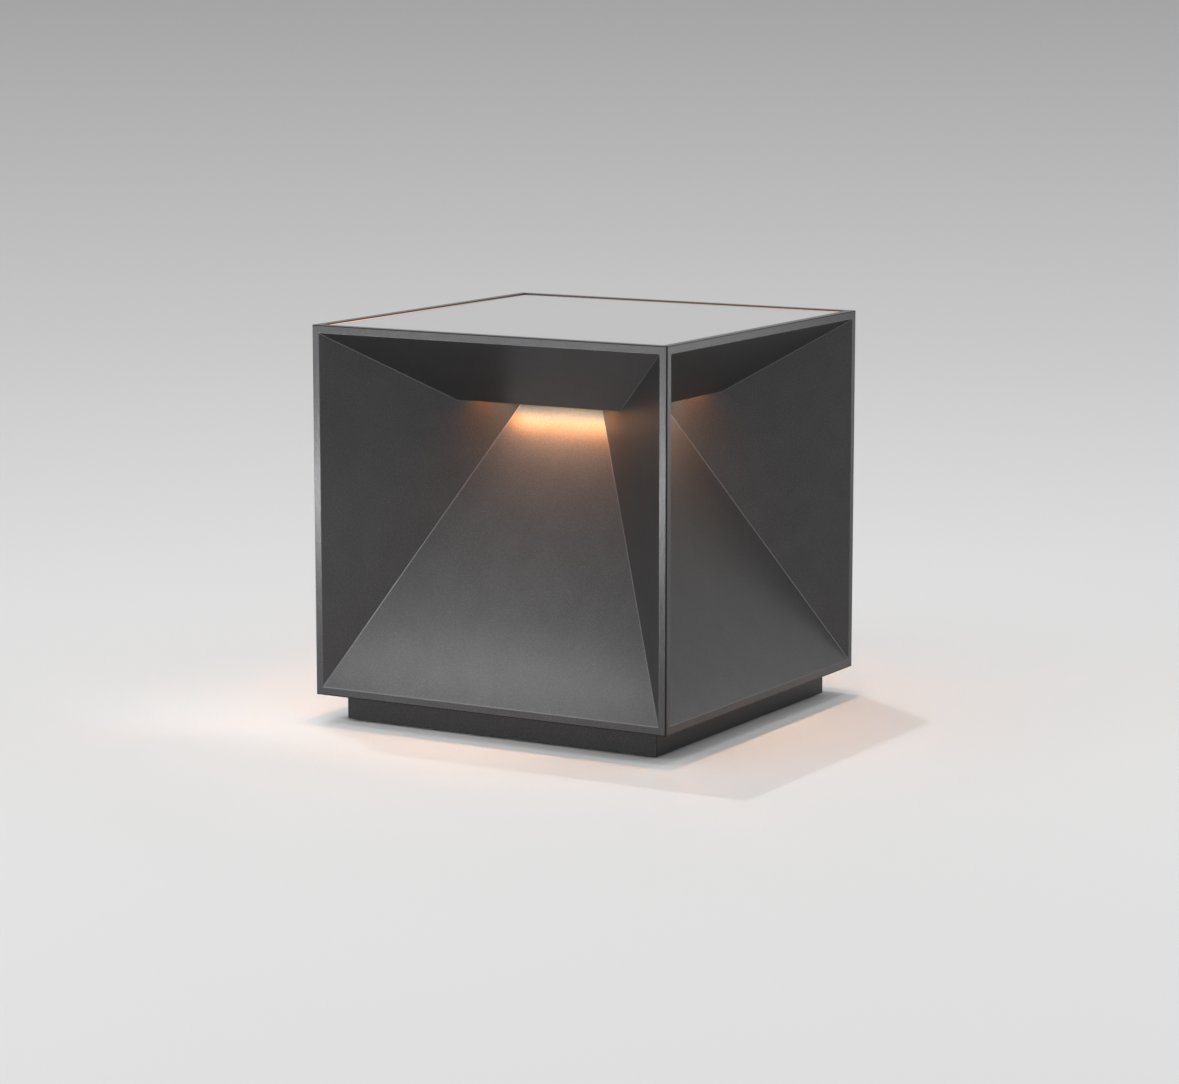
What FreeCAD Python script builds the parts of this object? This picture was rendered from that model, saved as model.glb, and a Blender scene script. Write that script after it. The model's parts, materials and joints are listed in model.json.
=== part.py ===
import FreeCAD, Part
import math
import os

# A square cordless table lamp, in millimetres, with +Z up. The origin lies on the table under the
# middle of the lamp. The front looks along -Y, and the charging port is at the back, on +Y.
# Depth is measured inward from a side's outer face, and half is half the lamp's width.

# Body
width = 200.0
height = 200.0
edge = 4.0
wall = 2.5
mitre_gap = 0.2
edge_round = 0.6
corner_round = 0.2

# Recess of each side: the hopper hangs from the top edge, the pyramid rises from the bottom edge
ceiling_width = 100.0
hopper_drop = 35.75
lip_height = 4.0
pyramid_top_width = 49.3

# Plinth
plinth_height = 14.4
plinth_inset = 11.2
foot_proud = 1.2
tray_wall = 4.0
web = 3.0
base_thickness = 3.0
base_gap = 0.3
foot_radius = 7.0
foot_sink = 1.0
foot_inset = 24.8

# Glass top
rim_drop = 0.8
glass_thickness = 3.0
glass_gap = 0.4
glass_chamfer = 0.3
gasket_thickness = 0.5
gasket_inset = 0.2
ledge_width = 6.0

# Screws: nominal diameters, and what their heads and keys take of them
body_screw = 4.0
plate_screw = 3.0
board_screw = 2.5
head_radius_share = 0.92
head_height_share = 0.7
key_share = 0.42
key_depth_share = 0.6
screw_play = 0.05
pass_play = 0.2
hole_reserve = 1.0

# Fixings of a side shell
foot_flange = 24.4
foot_flange_thickness = 3.0
shell_boss_radius = 4.2
shell_boss_height = 8.6
shell_screw_depth = 20.0
shell_screw_corner = 33.0
rib_width = 8.0
rib_depth = 7.0
rib_place = 30.0
rib_least = 0.3
lug_length = 13.0
lug_depth = 10.0
lug_inset = 3.0

# Plates that tie the sides together under the glass
bracket_thickness = 2.0
bracket_gap = 0.4
bracket_head_gap = 0.3

# Lamp chamber between the four hoppers
shelf = 1.5
upstand = 3.0
cover_thickness = 2.0
cover_gap = 0.3
cover_boss_radius = 3.4
cover_boss_inset = 5.2
lamp_space = 5.6
seal_thickness = 1.0
seal_inset = 0.4
window_margin = 3.0
window_length = 28.0
window_width = 9.0
window_gap = 0.2
window_lip = 1.5
window_lip_thickness = 1.0
carrier_thickness = 3.0
carrier_gap = 0.5
board_thickness = 1.6
led_board_gap = 0.6
led_length = 22.0
led_width = 4.5
led_height = 0.9
socket_length = 8.0
socket_width = 6.0
socket_height = 4.0
socket_place = 34.0
socket_gap = 0.5

# Column with the lead inside
column_radius = 6.5
column_bore = 5.0
column_gap = 0.3
column_seat = 1.0
column_boss_radius = 11.0
column_boss_height = 8.0
nut_width = 19.0
nut_height = 4.0
column_over_nut = 1.5
lead_radius = 1.3
lead_bend = 8.0
lead_rise = 1.0

# Boards under the plinth's web
pad_height = 0.6
pad_radius = 2.6
pad_inset = 3.5
driver_length = 44.0
driver_width = 40.0
driver_reach = 9.0
driver_right = -20.0
part_height = 4.0
plug_length = 8.0
plug_width = 6.0
charge_length = 92.0
charge_width = 25.0
charge_wall_gap = 0.5
link_place = -33.0

# Battery
cell_radius = 9.2
cell_length = 65.0
cell_pitch = 19.2
cell_count = 2
cell_gap = 0.3
contact_thickness = 0.8
holder_wall = 2.0
holder_flange = 6.0
holder_gap = 0.5
strap_width = 12.0
strap_thickness = 0.8
battery_place = 20.0
clip_length = 5.0
clip_wall = 1.6

# Charging port, its door and the power button, in the plinth's back wall
port_place = 24.0
port_width = 8.94
port_height = 3.26
port_length = 7.35
port_wall = 0.3
port_floor = 1.15
port_setback = 0.5
port_gap = 0.3
tongue_width = 6.7
tongue_thickness = 0.7
tongue_length = 4.5
door_width = 18.0
door_height = 7.4
door_thickness = 1.6
door_gap = 0.3
door_sink = 0.1
door_back_gap = 0.2
barrel_radius = 1.3
barrel_gap = 0.3
pin_radius = 0.6
pin_fit = 0.02
hinge_fit = 0.05
pin_hold = 1.2
nail_width = 6.0
nail_depth = 0.5
nail_length = 1.2
button_place = -24.0
button_width = 14.0
button_height = 5.0
button_proud = 0.6
button_gap = 0.15
button_travel = 1.0
button_flange = 1.2
button_flange_side = 1.5
button_flange_rise = 0.6
button_seat_gap = 0.05
button_round = 0.3
plunger_radius = 1.0
plunger_gap = 0.1
plunger_grip = 1.6
switch_width = 6.2
switch_depth = 5.8
switch_height = 3.8
switch_gap = 0.25
switch_floor_gap = 0.4

# Every cut runs this far past the face that it starts from
over = 1.0

# Places that follow from the sizes above
half = width / 2
recess_half = half - edge
recess_top = height - edge
recess_floor = plinth_height + edge
hopper_depth = half - ceiling_width / 2
hopper_low = recess_top - hopper_drop
hopper_fall = hopper_drop / hopper_depth
hopper_wall = wall * math.hypot(hopper_fall, 1)
cover_low = hopper_low + lip_height
cover_top = cover_low + cover_thickness
pyramid_top = cover_low - seal_thickness
pyramid_half = pyramid_top_width / 2
pyramid_depth = half - pyramid_half
pyramid_rise = (pyramid_top - recess_floor) / pyramid_depth
pyramid_wall = wall * math.hypot(pyramid_rise, 1) / pyramid_rise
mitre_back = mitre_gap / math.sqrt(2)
glass_top = height - rim_drop
glass_low = glass_top - glass_thickness
ledge_top = glass_low - gasket_thickness
ledge_depth = edge + ledge_width
glass_half = recess_half - glass_gap
shelf_depth = hopper_depth - shelf
upstand_depth = shelf_depth - upstand
rib_start = upstand_depth - rib_depth
foot_flange_top = plinth_height + foot_flange_thickness
plinth_half = half - plinth_inset
tray_half = plinth_half - tray_wall
foot_place = tray_half - foot_inset
shell_screw_place = half - shell_screw_corner
web_low = plinth_height - web
base_top = foot_proud + base_thickness
board_top = web_low - pad_height
board_low = board_top - board_thickness
plug_height = board_low - part_height / 2
port_height_place = board_low - port_height / 2
cover_half = half - shelf_depth - cover_gap
cover_boss_place = cover_half - cover_boss_inset
window_place = pyramid_half + window_margin + window_width / 2
led_board_half = cover_boss_place - cover_boss_radius - led_board_gap
lug_top = ledge_top - bracket_head_gap - plate_screw * head_height_share - bracket_thickness


def hopper_z(depth):
    """Height of the hopper's visible face at a depth."""
    return recess_top - hopper_fall * depth


def hopper_back(z):
    """Depth at which the hopper's inner face has a height."""
    return (recess_top + hopper_wall - z) / hopper_fall


# The lamp plate lies clear of the windows, and over the hopper wall where its ribs stand
carrier_low = max(cover_top + lamp_space, hopper_z(rib_start) + hopper_wall + rib_least)
carrier_top = carrier_low + carrier_thickness
carrier_half = half - hopper_back(carrier_low) - carrier_gap
led_board_low = carrier_low - board_thickness
lug_start = max(ledge_depth, hopper_back(lug_top))
lug_deep = lug_start + lug_depth
lug_end = half - lug_deep - lug_inset


def box(x0, x1, y0, y1, z0, z1):
    return Part.makeBox(x1 - x0, y1 - y0, z1 - z0, FreeCAD.Vector(x0, y0, z0))


def slab(side, z0, z1):
    return box(-side, side, -side, side, z0, z1)


def rod(x, y, z0, z1, radius):
    low = min(z0, z1)
    return Part.makeCylinder(radius, abs(z1 - z0), FreeCAD.Vector(x, y, low))


def rod_in(x, z, y0, y1, radius):
    """A rod along Y."""
    along = FreeCAD.Vector(0, 1, 0)
    return Part.makeCylinder(radius, y1 - y0, FreeCAD.Vector(x, y0, z), along)


def flat(points):
    corners = [FreeCAD.Vector(*point) for point in points]
    return Part.Face(Part.makePolygon(corners + corners[:1]))


def plan_prism(outline, z0, z1):
    """A prism with an outline in X and Y."""
    face = flat([(x, y, z0) for x, y in outline])
    return face.extrude(FreeCAD.Vector(0, 0, z1 - z0))


def side_prism(outline, x0, x1):
    """A prism across the front side, with an outline in depth and height."""
    face = flat([(x0, depth - half, z) for depth, z in outline])
    return face.extrude(FreeCAD.Vector(x1 - x0, 0, 0))


def pill(x, z, long_side, short_side, y0, y1):
    """A bar along Y with a section that is round at both ends."""
    radius = short_side / 2
    reach = long_side / 2 - radius
    bar = box(x - reach, x + reach, y0, y1, z - radius, z + radius)
    for end in (x - reach, x + reach):
        bar = bar.fuse(rod_in(end, z, y0, y1, radius))
    return bar.removeSplitter()


def joined(first, others):
    return first.fuse(others).removeSplitter()


def turned(shape, quarters):
    copy = shape.copy()
    copy.rotate(FreeCAD.Vector(0, 0, 0), FreeCAD.Vector(0, 0, 1), 90 * quarters)
    return copy


def all_round(make):
    """The four copies of a front piece, one for each side."""
    return [turned(make(), quarters) for quarters in range(4)]


def corners_of(x, y):
    return [(x, y), (-x, y), (-x, -y), (x, -y)]


def edges_with(shape, test):
    """The edges whose two ends both pass a test on their place."""
    found = []
    for line in shape.Edges:
        if all(test(end.Point) for end in line.Vertexes):
            found.append(line)
    return found


def hexagon(x, y, z0, z1, across):
    reach = across / math.sqrt(3)
    turns = [math.radians(60 * step) for step in range(6)]
    outline = [(x + reach * math.cos(turn), y + reach * math.sin(turn)) for turn in turns]
    return plan_prism(outline, min(z0, z1), max(z0, z1))


def screw(x, y, seat, tip, diameter):
    """A cap screw whose head sits on the seat, with its shank towards the tip."""
    way = math.copysign(1, tip - seat)
    head_height = diameter * head_height_share
    crown = seat - way * head_height
    middle = (seat + crown) / 2
    head = rod(x, y, crown, seat, diameter * head_radius_share)
    shank = rod(x, y, middle, tip, diameter / 2)
    key_floor = crown + way * head_height * key_depth_share
    key = hexagon(x, y, crown - way * over, key_floor, diameter * key_share)
    return joined(head, [shank]).cut(key)


def screw_hole(x, y, z0, z1, diameter):
    return rod(x, y, z0, z1, diameter / 2 + screw_play)


def pass_hole(x, y, z0, z1, diameter):
    return rod(x, y, z0, z1, diameter / 2 + pass_play)


def shell_block():
    """The whole wedge of one side before its recess is taken out."""
    pyramid_in = (foot_flange_top - recess_floor) / pyramid_rise + pyramid_wall
    outline = [
        (0, plinth_height),
        (0, height),
        (edge, height),
        (edge, ledge_top),
        (ledge_depth, ledge_top),
        (ledge_depth, hopper_z(ledge_depth) + hopper_wall),
        (upstand_depth, hopper_z(upstand_depth) + hopper_wall),
        (upstand_depth, carrier_low),
        (shelf_depth, carrier_low),
        (shelf_depth, cover_low),
        (pyramid_depth, cover_low),
        (pyramid_depth, pyramid_top),
        (pyramid_depth + pyramid_wall, pyramid_top),
        (pyramid_in, foot_flange_top),
        (foot_flange, foot_flange_top),
        (foot_flange, plinth_height),
    ]
    wide = half - mitre_back
    wedge = plan_prism([(-wide, -half), (wide, -half), (0, -mitre_back)], 0, height)
    return side_prism(outline, -half, half).common(wedge)


def recess():
    """The space between hopper, pyramid and the two fins of one side."""
    outline = [
        (-over, recess_floor),
        (0, recess_floor),
        (pyramid_depth, pyramid_top),
        (pyramid_depth, cover_low + over),
        (hopper_depth, cover_low + over),
        (hopper_depth, hopper_low),
        (0, recess_top),
        (-over, recess_top),
    ]
    plan = [
        (-recess_half, -half - over),
        (recess_half, -half - over),
        (recess_half, -half),
        (0, -edge),
        (-recess_half, -half),
    ]
    return side_prism(outline, -half, half).common(plan_prism(plan, 0, height))


def carrier_rib(x):
    """A block behind the hopper's lip that takes a carrier screw."""
    outline = [
        (upstand_depth, hopper_z(upstand_depth) + hopper_wall / 2),
        (upstand_depth, carrier_low),
        (rib_start, carrier_low),
        (rib_start, hopper_z(rib_start) + hopper_wall / 2),
    ]
    return side_prism(outline, x - rib_width / 2, x + rib_width / 2)


def lug_spot():
    """Place of the bracket screw of the front side's right lug."""
    return lug_end - lug_length / 2, lug_start + lug_depth / 2 - half


def bracket_lug(way):
    """A block behind the hopper, near the top ledge, that takes a bracket screw."""
    outline = [
        (lug_start, lug_top),
        (lug_deep, lug_top),
        (lug_deep, hopper_z(lug_deep) + hopper_wall / 2),
        (lug_start, hopper_z(lug_start) + hopper_wall / 2),
    ]
    ends = sorted([way * lug_end, way * (lug_end - lug_length)])
    return side_prism(outline, ends[0], ends[1])


def rounded(shell):
    """The cast edges: mouth, lip and valleys of the recess, then the sharper outer edges."""
    tight = mitre_back / 2

    def on_face(point):
        return abs(point.y + half) < tight

    def in_mouth(point):
        return on_face(point) and abs(point.x) < recess_half + tight

    def on_fin(point):
        return abs(abs(point.x) - recess_half + half + point.y) < tight

    def on_lip(point):
        return abs(point.y + half - hopper_depth) < tight and abs(point.z - hopper_low) < tight

    def at_corner(point):
        return on_face(point) and abs(point.x) > half - mitre_back - tight

    lines = edges_with(shell, in_mouth) + edges_with(shell, on_lip)
    for line in edges_with(shell, on_fin):
        if on_face(line.Vertexes[0].Point) != on_face(line.Vertexes[-1].Point):
            lines.append(line)
    shell = shell.makeFillet(edge_round, lines)
    return shell.makeFillet(corner_round, edges_with(shell, at_corner))


def front_shell():
    ribs = [carrier_rib(x) for x in (-rib_place, rib_place)]
    lugs = [bracket_lug(way) for way in (-1, 1)]
    boss_y = shell_screw_depth - half
    boss_top = foot_flange_top + shell_boss_height
    bosses = []
    holes = []
    for x in (-shell_screw_place, shell_screw_place):
        bosses.append(rod(x, boss_y, plinth_height, boss_top, shell_boss_radius))
        holes.append(screw_hole(x, boss_y, plinth_height - over, boss_top - hole_reserve, body_screw))
    rib_y = (rib_start + upstand_depth) / 2 - half
    for x in (-rib_place, rib_place):
        depth = hopper_z(rib_y + half) + hopper_wall
        holes.append(screw_hole(x, rib_y, depth, carrier_low + over, plate_screw))
    lug_x, lug_y = lug_spot()
    for x in (-lug_x, lug_x):
        depth = hopper_z(lug_y + half) + hopper_wall / 2
        holes.append(screw_hole(x, lug_y, depth, lug_top + over, plate_screw))
    shell = rounded(shell_block().cut(recess()))
    return joined(shell, ribs + lugs + bosses).cut(holes)


def top_glass():
    plate = slab(glass_half, glass_low, glass_top)
    rim = edges_with(plate, lambda point: point.z > (glass_low + glass_top) / 2)
    return plate.makeChamfer(glass_chamfer, rim)


def top_gasket():
    outer = glass_half - gasket_inset
    inner = half - ledge_depth + gasket_inset
    ring = slab(outer, ledge_top, glass_low)
    return ring.cut(slab(inner, ledge_top - over, glass_low + over))


def corner_bracket():
    """The plate across the front right corner."""
    reach = half - lug_start - bracket_gap
    lug_x, lug_y = lug_spot()
    near = lug_x - lug_length / 2
    inner = -lug_y - lug_depth / 2
    outline = [
        (near, -reach),
        (reach, -reach),
        (reach, -near),
        (inner, -near),
        (near, -inner),
    ]
    plate = plan_prism(outline, lug_top, lug_top + bracket_thickness)
    holes = []
    for x, y in ((lug_x, lug_y), (-lug_y, -lug_x)):
        holes.append(pass_hole(x, y, lug_top - over, lug_top + bracket_thickness + over, plate_screw))
    return plate.cut(holes)


def bracket_screws():
    seat = lug_top + bracket_thickness
    lug_x, lug_y = lug_spot()
    tip = hopper_z(lug_y + half) + hopper_wall
    screws = []
    for quarters in range(4):
        for x, y in ((lug_x, lug_y), (-lug_y, -lug_x)):
            screws.append(turned(screw(x, y, seat, tip, plate_screw), quarters))
    return screws


def window_hole(grow, z0, z1):
    reach = window_length / 2 + grow
    deep = window_width / 2 + grow
    return box(-reach, reach, -window_place - deep, -window_place + deep, z0, z1)


def lamp_cover():
    cover = slab(cover_half, cover_low, cover_top)
    spots = corners_of(cover_boss_place, cover_boss_place)
    bosses = [rod(x, y, cover_low, carrier_low, cover_boss_radius) for x, y in spots]
    holes = [screw_hole(x, y, cover_top, carrier_low + over, plate_screw) for x, y in spots]
    holes.append(rod(0, 0, cover_low - over, cover_top + over, column_radius + column_gap))
    for quarters in range(4):
        holes.append(turned(window_hole(0, cover_low - over, cover_top + over), quarters))
    return joined(cover, bosses).cut(holes)


def led_window():
    body = window_hole(-window_gap, cover_low, cover_top + window_lip_thickness)
    lip = window_hole(window_lip, cover_top, cover_top + window_lip_thickness)
    return joined(body, [lip])


def led_screw_spots():
    place = led_board_half - pad_inset
    return corners_of(place, place)


def led_board():
    board = slab(led_board_half, led_board_low, carrier_low)
    holes = [rod(0, 0, led_board_low - over, carrier_low + over, column_radius + column_gap)]
    for x, y in led_screw_spots():
        holes.append(pass_hole(x, y, led_board_low - over, carrier_low + over, board_screw))
    return board.cut(holes)


def led_module():
    """A row of chips over the front window."""
    reach = led_length / 2
    deep = led_width / 2
    low = led_board_low - led_height
    return box(-reach, reach, -window_place - deep, -window_place + deep, low, led_board_low)


def led_socket():
    low = carrier_low
    high = carrier_top + socket_height
    reach = socket_length / 2
    deep = socket_width / 2
    return box(-socket_place - reach, -socket_place + reach, -deep, deep, low, high)


def led_board_screws():
    tip = carrier_top - screw_play
    return [screw(x, y, led_board_low, tip, board_screw) for x, y in led_screw_spots()]


def carrier_screw_spots():
    y = half - (rib_start + upstand_depth) / 2
    spots = []
    for x in (-rib_place, rib_place):
        spots += [(x, y), (x, -y), (y, x), (-y, x)]
    return spots


def lamp_carrier():
    plate = slab(carrier_half, carrier_low, carrier_top)
    low = carrier_low - over
    high = carrier_top + over
    holes = [rod(0, 0, low, high, column_radius + column_gap)]
    holes += [pass_hole(x, y, low, high, plate_screw) for x, y in carrier_screw_spots()]
    for x, y in corners_of(cover_boss_place, cover_boss_place):
        holes.append(pass_hole(x, y, low, high, plate_screw))
    holes += [screw_hole(x, y, low, high, board_screw) for x, y in led_screw_spots()]
    reach = socket_length / 2 + socket_gap
    deep = socket_width / 2 + socket_gap
    holes.append(box(-socket_place - reach, -socket_place + reach, -deep, deep, low, high))
    return plate.cut(holes)


def carrier_screws():
    tip = carrier_low - (carrier_low - hopper_z(upstand_depth) - hopper_wall) / 2
    return [screw(x, y, carrier_top, tip, plate_screw) for x, y in carrier_screw_spots()]


def cover_screws():
    spots = corners_of(cover_boss_place, cover_boss_place)
    return [screw(x, y, carrier_top, cover_top + screw_play, plate_screw) for x, y in spots]


def pyramid_seal():
    outer = pyramid_half - seal_inset
    inner = half - pyramid_depth - pyramid_wall + seal_inset
    ring = slab(outer, pyramid_top, cover_low)
    return ring.cut(slab(inner, pyramid_top - over, cover_low + over))


def column_ends():
    low = plinth_height - column_seat
    return low, carrier_top + nut_height + column_over_nut


def centre_column():
    low, high = column_ends()
    tube = rod(0, 0, low, high, column_radius)
    return tube.cut(rod(0, 0, low - over, high + over, column_bore))


def column_nut():
    nut = hexagon(0, 0, carrier_top, carrier_top + nut_height, nut_width)
    return nut.cut(rod(0, 0, carrier_top - over, carrier_top + nut_height + over, column_radius + screw_play))


def swept(points, radius):
    """A round lead along points in the plane y = 0, with an arc of the lead's bend at each turn."""
    middle = math.sin(math.radians(45))
    edges = []
    start = FreeCAD.Vector(points[0][0], 0, points[0][1])
    for before, corner, after in zip(points, points[1:], points[2:]):
        turn = FreeCAD.Vector(corner[0], 0, corner[1])
        back = (FreeCAD.Vector(before[0], 0, before[1]) - turn).normalize()
        forward = (FreeCAD.Vector(after[0], 0, after[1]) - turn).normalize()
        centre = turn + (back + forward) * lead_bend
        into = turn + back * lead_bend
        out = turn + forward * lead_bend
        knee = centre - (back + forward) * lead_bend * middle
        edges.append(Part.LineSegment(start, into).toShape())
        edges.append(Part.Arc(into, knee, out).toShape())
        start = out
    last = FreeCAD.Vector(points[-1][0], 0, points[-1][1])
    edges.append(Part.LineSegment(start, last).toShape())
    path = Part.Wire(edges)
    along = edges[0].tangentAt(edges[0].FirstParameter)
    section = Part.Wire([Part.makeCircle(radius, edges[0].Vertexes[0].Point, along)])
    return path, path.makePipeShell([section], True, False)


def led_lead():
    """From the driver's plug, up inside the column and over to the light's socket."""
    crest = column_ends()[1] + lead_rise + lead_bend
    points = [
        (driver_right, plug_height),
        (0, plug_height),
        (0, crest),
        (-socket_place, crest),
        (-socket_place, carrier_top + socket_height),
    ]
    path, lead = swept(points, lead_radius)
    measured = lead.Volume / (math.pi * lead_radius ** 2 * path.Length)
    print(f"led lead: length {path.Length:.1f}, bends {lead_bend:.1f}, volume share {measured:.4f}")
    return lead


def base_screw_spots():
    place = tray_half - shell_boss_radius - plinth_inset / 2
    return corners_of(place, place)


def board_screw_spots(x0, x1, y0, y1):
    return [(x, y) for x in (x0 + pad_inset, x1 - pad_inset) for y in (y0 + pad_inset, y1 - pad_inset)]


def driver_box():
    return driver_right - driver_length, driver_right, -driver_reach, driver_width - driver_reach


def charge_box():
    high = tray_half - charge_wall_gap
    return -charge_length / 2, charge_length / 2, high - charge_width, high


def shell_screw_spots():
    y = half - shell_screw_depth
    spots = []
    for x in (-shell_screw_place, shell_screw_place):
        spots += [(x, y), (x, -y), (y, x), (-y, x)]
    return spots


def holder_half():
    """Half sizes of the battery holder's body, in X and in Y."""
    along = cell_length / 2 + contact_thickness + holder_wall
    across = (cell_count - 1) * cell_pitch / 2 + cell_radius + cell_gap + holder_wall
    return along, across


# The holder stands beside the foot flange of the front side
holder_centre = foot_flange + holder_gap + holder_half()[1] - half


def strap_screw_spots():
    reach = holder_half()[1] + holder_flange / 2
    return [(0, holder_centre - reach), (0, holder_centre + reach)]


def holder_screw_spots():
    along, across = holder_half()
    reach = along - holder_wall
    deep = across + holder_flange / 2
    return [(x, holder_centre + y) for x, y in corners_of(reach, deep)]


def door_place():
    """Hinge axis of the door, and its far end, in X and Y."""
    hinge_x = port_place - door_width / 2 + barrel_radius
    hinge_y = plinth_half - door_sink - barrel_radius
    return hinge_x, hinge_y, port_place + door_width / 2


def door_pocket():
    hinge_x, hinge_y, far = door_place()
    reach = door_height / 2 + door_gap
    low = port_height_place - reach
    high = port_height_place + reach
    floor = plinth_half - door_sink - door_thickness - door_back_gap
    swing = barrel_radius + barrel_gap
    pocket = box(hinge_x, far + door_gap, floor, plinth_half + over, low, high)
    hollow = rod(hinge_x, hinge_y, low, high, swing)
    way_out = box(hinge_x - swing, hinge_x, hinge_y, plinth_half + over, low, high)
    return joined(pocket, [hollow, way_out])


def pin_ends():
    high = port_height_place + door_height / 2 + door_gap + pin_hold
    return foot_proud + pass_play, high


def tray_hollows():
    """What is taken out of the tray: its inside, its holes and the places in its back wall."""
    low = foot_proud - over
    hinge_x, hinge_y, far = door_place()
    inside = tray_half - over
    port_long = port_width + port_gap * 2
    port_short = port_height + port_gap * 2
    button_long = button_width + button_gap * 2
    button_short = button_height + button_gap * 2
    outside = plinth_half + over
    return [
        door_pocket(),
        pill(port_place, port_height_place, port_long, port_short, inside, outside),
        pill(button_place, port_height_place, button_long, button_short, inside, outside),
        rod(hinge_x, hinge_y, low, pin_ends()[1], pin_radius + pin_fit),
    ]


def plinth_tray():
    tray = slab(plinth_half, foot_proud, plinth_height)
    corners = edges_with(tray, lambda point: True)
    upright = [line for line in corners if abs(line.Vertexes[0].Z - line.Vertexes[1].Z) > web]
    tray = tray.makeFillet(edge_round, upright)
    tray = tray.cut(slab(tray_half, foot_proud - over, web_low))
    column_low = column_ends()[0]
    boss_top = plinth_height + column_boss_height
    adds = [rod(0, 0, web_low, boss_top, column_boss_radius)]
    adds += [rod(x, y, base_top, plinth_height, shell_boss_radius) for x, y in base_screw_spots()]
    for spots in (board_screw_spots(*driver_box()), board_screw_spots(*charge_box())):
        adds += [rod(x, y, board_top, plinth_height, pad_radius) for x, y in spots]
    tray = joined(tray, adds)
    holes = [rod(0, 0, column_low, boss_top + over, column_radius + screw_play)]
    holes.append(rod(0, 0, web_low - over, boss_top, column_bore))
    web_end = plinth_height + over
    holes += [pass_hole(x, y, web_low - over, web_end, body_screw) for x, y in shell_screw_spots()]
    base_end = plinth_height - hole_reserve
    holes += [screw_hole(x, y, base_top - over, base_end, plate_screw) for x, y in base_screw_spots()]
    for spots in (board_screw_spots(*driver_box()), board_screw_spots(*charge_box())):
        holes += [screw_hole(x, y, board_top - over, base_end, board_screw) for x, y in spots]
    for x, y in holder_screw_spots() + strap_screw_spots():
        holes.append(screw_hole(x, y, web_low - over, base_end, board_screw))
    along, across = holder_half()
    along += holder_gap
    across += holder_gap
    low = holder_centre - across
    holes.append(box(-along, along, low, holder_centre + across, web_low - over, web_end))
    return tray.cut(holes + tray_hollows())


def base_plate():
    side = tray_half - base_gap
    plate = slab(side, foot_proud, base_top)
    holes = []
    for x, y in base_screw_spots():
        holes.append(pass_hole(x, y, foot_proud - over, base_top + over, plate_screw))
        holes.append(sunk_head(x, y, pass_play))
    for x, y in corners_of(foot_place, foot_place):
        holes.append(rod(x, y, foot_proud - over, foot_proud + foot_sink, foot_radius + screw_play))
    return plate.cut(holes)


def sunk_head(x, y, grow):
    """The cone of a countersunk screw in the base plate."""
    head = plate_screw * head_radius_share + grow
    tall = base_thickness / 2
    foot = FreeCAD.Vector(x, y, foot_proud)
    return Part.makeCone(head, plate_screw / 2, tall, foot, FreeCAD.Vector(0, 0, 1))


def base_screws():
    tip = plinth_height - hole_reserve * 2
    key_top = foot_proud + base_thickness * key_share
    screws = []
    for x, y in base_screw_spots():
        shank = rod(x, y, foot_proud, tip, plate_screw / 2)
        key = hexagon(x, y, foot_proud - over, key_top, plate_screw * key_share)
        screws.append(joined(sunk_head(x, y, 0), [shank]).cut(key))
    return screws


def rubber_foot(x, y):
    foot = rod(x, y, 0, foot_proud + foot_sink, foot_radius)
    under = edges_with(foot, lambda point: point.z < foot_proud / 2)
    return foot.makeChamfer(foot_proud / 2, under)


def shell_screws():
    tip = foot_flange_top + shell_boss_height - hole_reserve * 2
    return [screw(x, y, web_low, tip, body_screw) for x, y in shell_screw_spots()]


def battery_levels():
    """Heights of the cells' axis, of the holder's ceiling and of its flange."""
    flange_low = web_low - holder_wall
    cell_low = flange_low + strap_thickness / 4
    return cell_low + cell_radius, cell_low + cell_radius * 2 + cell_gap, flange_low


def battery_holder():
    axis, ceiling, flange_low = battery_levels()
    along, across = holder_half()
    top = ceiling + holder_wall
    low = holder_centre - across
    high = holder_centre + across
    body = box(-along, along, low, high, flange_low, top)
    rim = holder_flange
    flange = box(-along, along, low - rim, high + rim, flange_low, web_low)
    block_x = plug_width / 2
    block = box(
        battery_place - block_x,
        battery_place + block_x,
        high,
        high + rim,
        board_low - part_height,
        flange_low,
    )
    inner = holder_wall
    hollow = box(
        inner - along,
        along - inner,
        low + inner,
        high - inner,
        flange_low - over,
        ceiling,
    )
    holes = [hollow]
    for x, y in holder_screw_spots() + strap_screw_spots():
        holes.append(pass_hole(x, y, flange_low - over, web_low + over, board_screw))
    return joined(body, [flange, block]).cut(holes)


def cell_places():
    first = holder_centre - (cell_count - 1) * cell_pitch / 2
    return [first + cell_pitch * step for step in range(cell_count)]


def battery_cells():
    axis = battery_levels()[0]
    along = FreeCAD.Vector(1, 0, 0)
    cells = []
    for y in cell_places():
        start = FreeCAD.Vector(-cell_length / 2, y, axis)
        cells.append(Part.makeCylinder(cell_radius, cell_length, start, along))
    return cells


def battery_contacts():
    axis = battery_levels()[0]
    across = holder_half()[1] - holder_wall - cell_gap
    low = holder_centre - across
    high = holder_centre + across
    plates = []
    for way in (-1, 1):
        ends = sorted([way * cell_length / 2, way * (cell_length / 2 + contact_thickness)])
        plates.append(box(ends[0], ends[1], low, high, axis - cell_radius / 2, axis + cell_radius / 2))
    return plates


def battery_strap():
    flange_low = battery_levels()[2]
    reach = holder_half()[1] + holder_flange
    low = flange_low - strap_thickness
    side = strap_width / 2
    strap = box(-side, side, holder_centre - reach, holder_centre + reach, low, flange_low)
    holes = [pass_hole(x, y, low - over, flange_low + over, board_screw) for x, y in strap_screw_spots()]
    return strap.cut(holes)


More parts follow.
